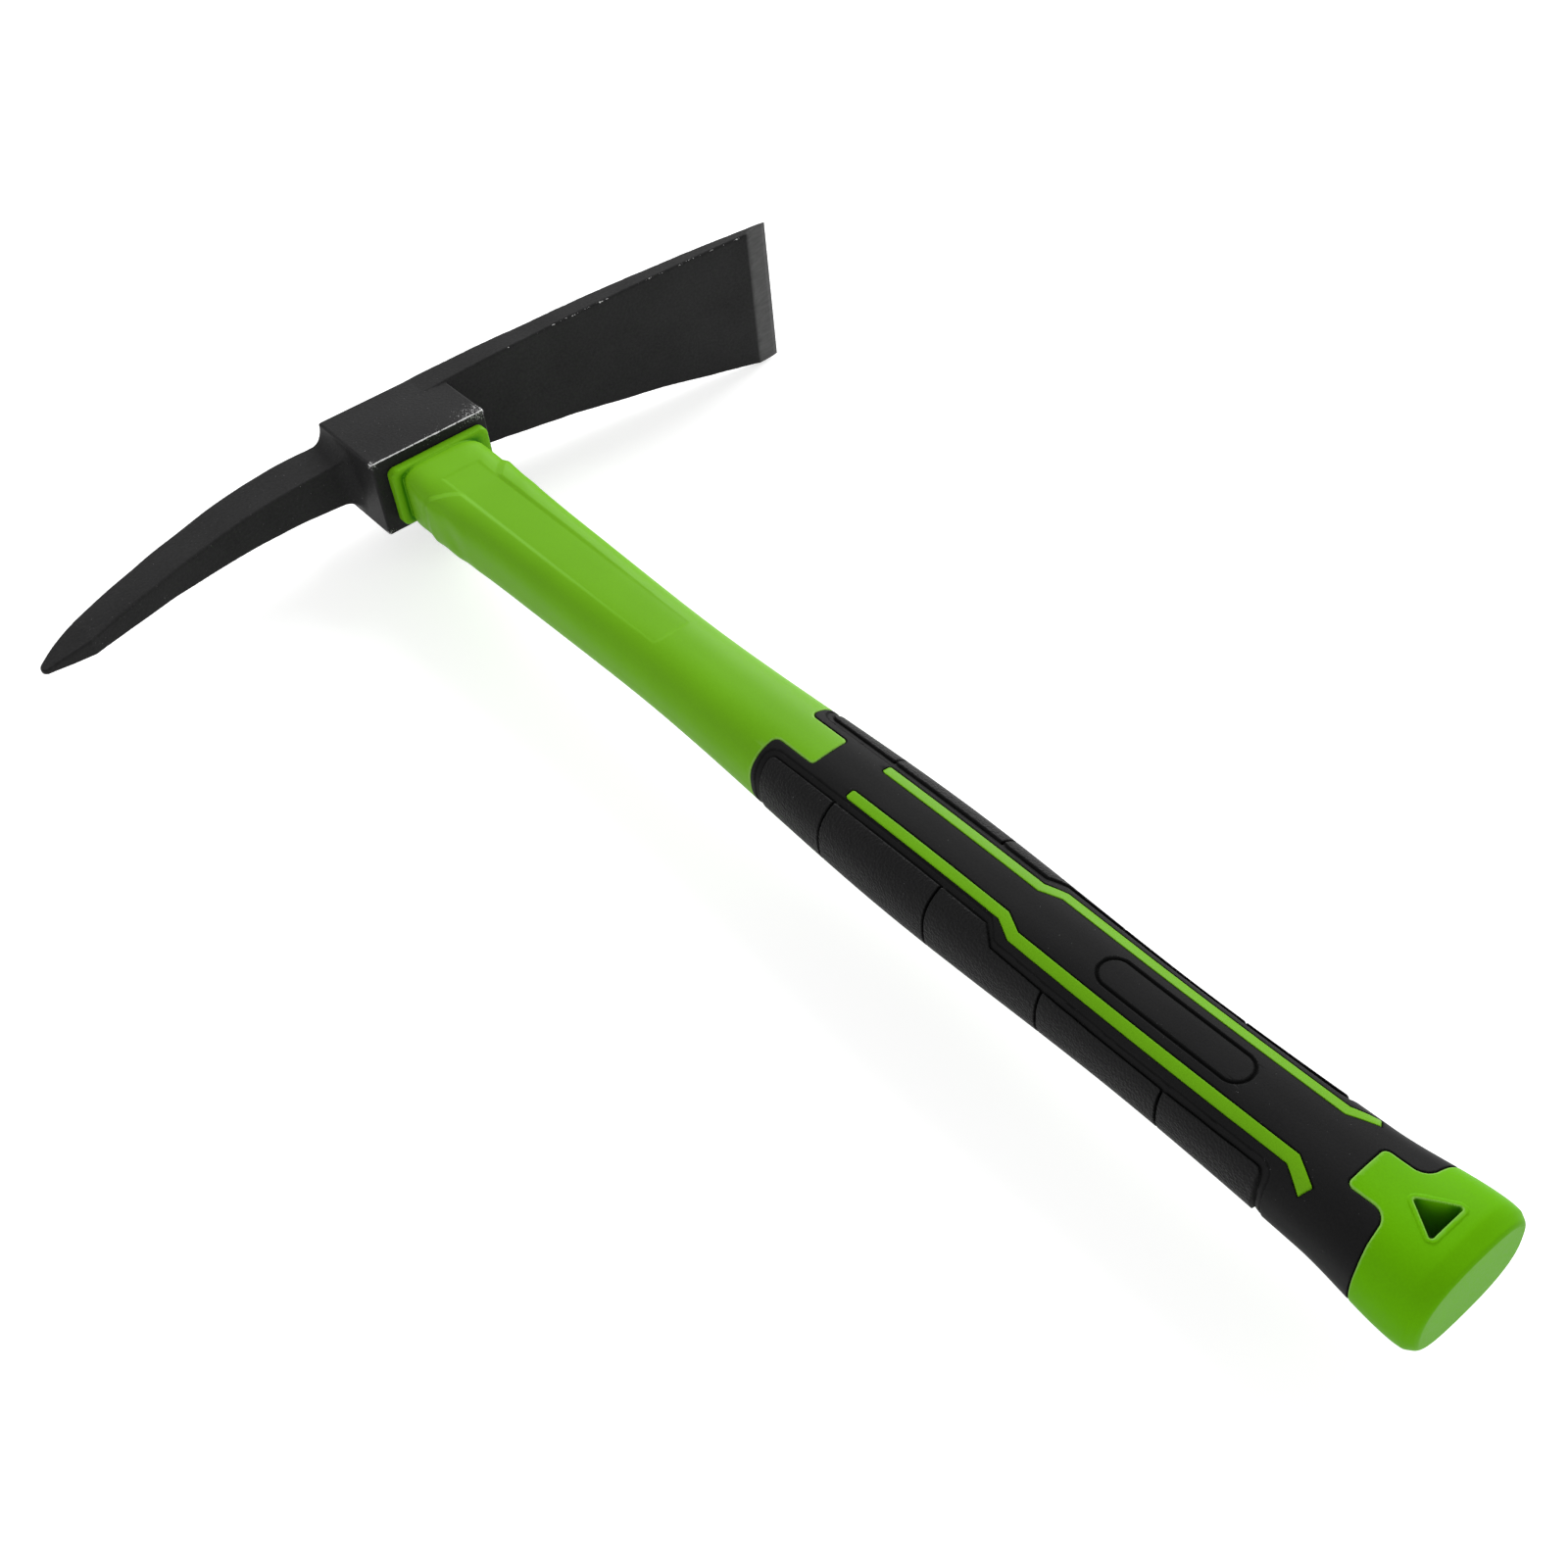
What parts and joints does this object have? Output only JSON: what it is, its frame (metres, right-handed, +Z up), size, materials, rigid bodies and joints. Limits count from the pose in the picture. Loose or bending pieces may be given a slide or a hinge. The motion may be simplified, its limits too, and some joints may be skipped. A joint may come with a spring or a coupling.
{
  "type": "mattock",
  "caption": "Hand mattock: a forged black head with a broad curved adze and a tapered pick, on a contoured green handle with a black rubber grip and a hang hole in its butt.",
  "frame": {"origin": "centre of the underside of the bounding box, with the tool lying on its side", "axes": "+X along the handle towards its butt, +Y towards the adze's cutting edge, +Z up across the head's thickness"},
  "size_m": [0.4014, 0.2634, 0.0504],
  "materials": {
    "head_black": "matte black paint over forged steel, worn along its edges",
    "jacket_green": "satin moulded plastic",
    "grip_black": "soft satin rubber",
    "glass_fibre": "pale pultruded glass fibre",
    "resin": "set epoxy, dull amber"
  },
  "bodies": {
    "root": {"mattock_head": "head_black", "eye_resin": "resin", "core_rod": "glass_fibre", "handle_jacket": "jacket_green", "grip_sleeve": "grip_black", "end_cap": "jacket_green", "stripe_top_adze": "jacket_green", "stripe_top_pick": "jacket_green", "stripe_under_adze": "jacket_green", "stripe_under_pick": "jacket_green"}
  },
  "joints": []
}
